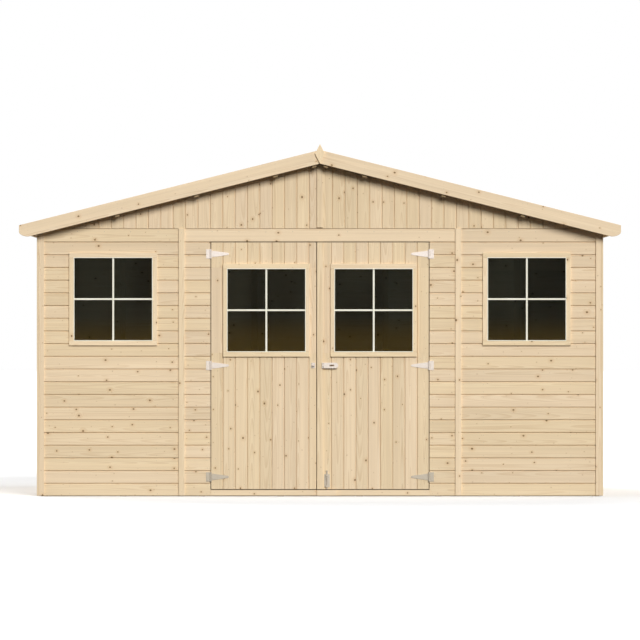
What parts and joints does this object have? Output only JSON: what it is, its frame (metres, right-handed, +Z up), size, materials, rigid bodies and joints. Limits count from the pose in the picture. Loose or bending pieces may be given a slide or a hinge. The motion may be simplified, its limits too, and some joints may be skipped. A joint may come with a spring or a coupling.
{
  "type": "wooden garden shed with double doors",
  "caption": "Wooden garden shed with a low ridged roof, double doors on T hinges, square windows with cross bars, a hasp and a floor bolt, hollow, with a boarded floor.",
  "frame": {"origin": "on the ground, under the middle of the shed", "axes": "+X to the right along the front, +Y to the back, +Z up; the doors face -Y"},
  "size_m": [4.164, 3.184, 2.4383],
  "materials": {
    "pine_boards": "bare planed pine, tongued and grooved, pale straw, with small brown knots",
    "pine_framing": "bare sawn pine",
    "pine_trim": "bare planed pine, slightly paler than the boards",
    "pine_floor": "bare planed pine floor boards",
    "roofing_felt": "grey mineral roofing felt",
    "zinc": "bright zinc plate",
    "grey_steel": "dull galvanised steel",
    "glazing": "clear flat glass, dark against the unlit inside"
  },
  "bodies": {
    "root": {"floor_bearers": "pine_framing", "floor_boards": "pine_floor", "door_sill": "pine_trim", "bolt_keeper": "pine_trim", "front_frame": "pine_framing", "back_frame": "pine_framing", "left_frame": "pine_framing", "right_frame": "pine_framing", "front_cladding_left": "pine_boards", "front_cladding_right": "pine_boards", "front_header": "pine_boards", "back_cladding": "pine_boards", "left_cladding": "pine_boards", "right_cladding": "pine_boards", "front_gable": "pine_boards", "back_gable": "pine_boards", "corner_strips": "pine_trim", "cover_strips": "pine_trim", "wall_window_frames": "pine_trim", "wall_window_glass": "glazing", "roof_purlins": "pine_framing", "roof_boards_left": "pine_boards", "roof_boards_right": "pine_boards", "roofing_felt": "roofing_felt", "eaves_boards": "pine_boards", "front_bargeboards": "pine_trim", "back_bargeboards": "pine_trim", "finials": "pine_trim", "hinge_plates": "zinc"},
    "left_door": {"left_door_boards": "pine_boards", "left_door_frame": "pine_framing", "left_door_window_frame": "pine_trim", "left_door_glass": "glazing", "left_door_hinge_straps": "zinc", "hasp_staple": "zinc"},
    "right_door": {"right_door_boards": "pine_boards", "right_door_frame": "pine_framing", "right_door_window_frame": "pine_trim", "right_door_glass": "glazing", "right_door_hinge_straps": "zinc", "meeting_strip": "pine_trim", "hasp_plate": "zinc", "bolt_housing": "grey_steel"},
    "hasp": {"hasp_strap": "zinc"},
    "bolt": {"bolt_rod": "grey_steel"}
  },
  "joints": [
    {"name": "left_door_hinge", "type": "hinge", "parent": "root", "child": "left_door", "pos_m": [-0.75625, -1.477, 0.906], "axis": [0, 0, -1], "range_deg": [0, 165]},
    {"name": "right_door_hinge", "type": "hinge", "parent": "root", "child": "right_door", "pos_m": [0.75625, -1.477, 0.906], "axis": [0, 0, 1], "range_deg": [0, 165]},
    {"name": "hasp_hinge", "type": "hinge", "parent": "right_door", "child": "hasp", "pos_m": [0.0175, -1.4885, 0.906], "axis": [0, 0, -1], "range_deg": [0, 180]},
    {"name": "bolt_slide", "type": "slide", "parent": "right_door", "child": "bolt", "axis": [0, 0, -1], "range_m": [0, 0.031]}
  ]
}
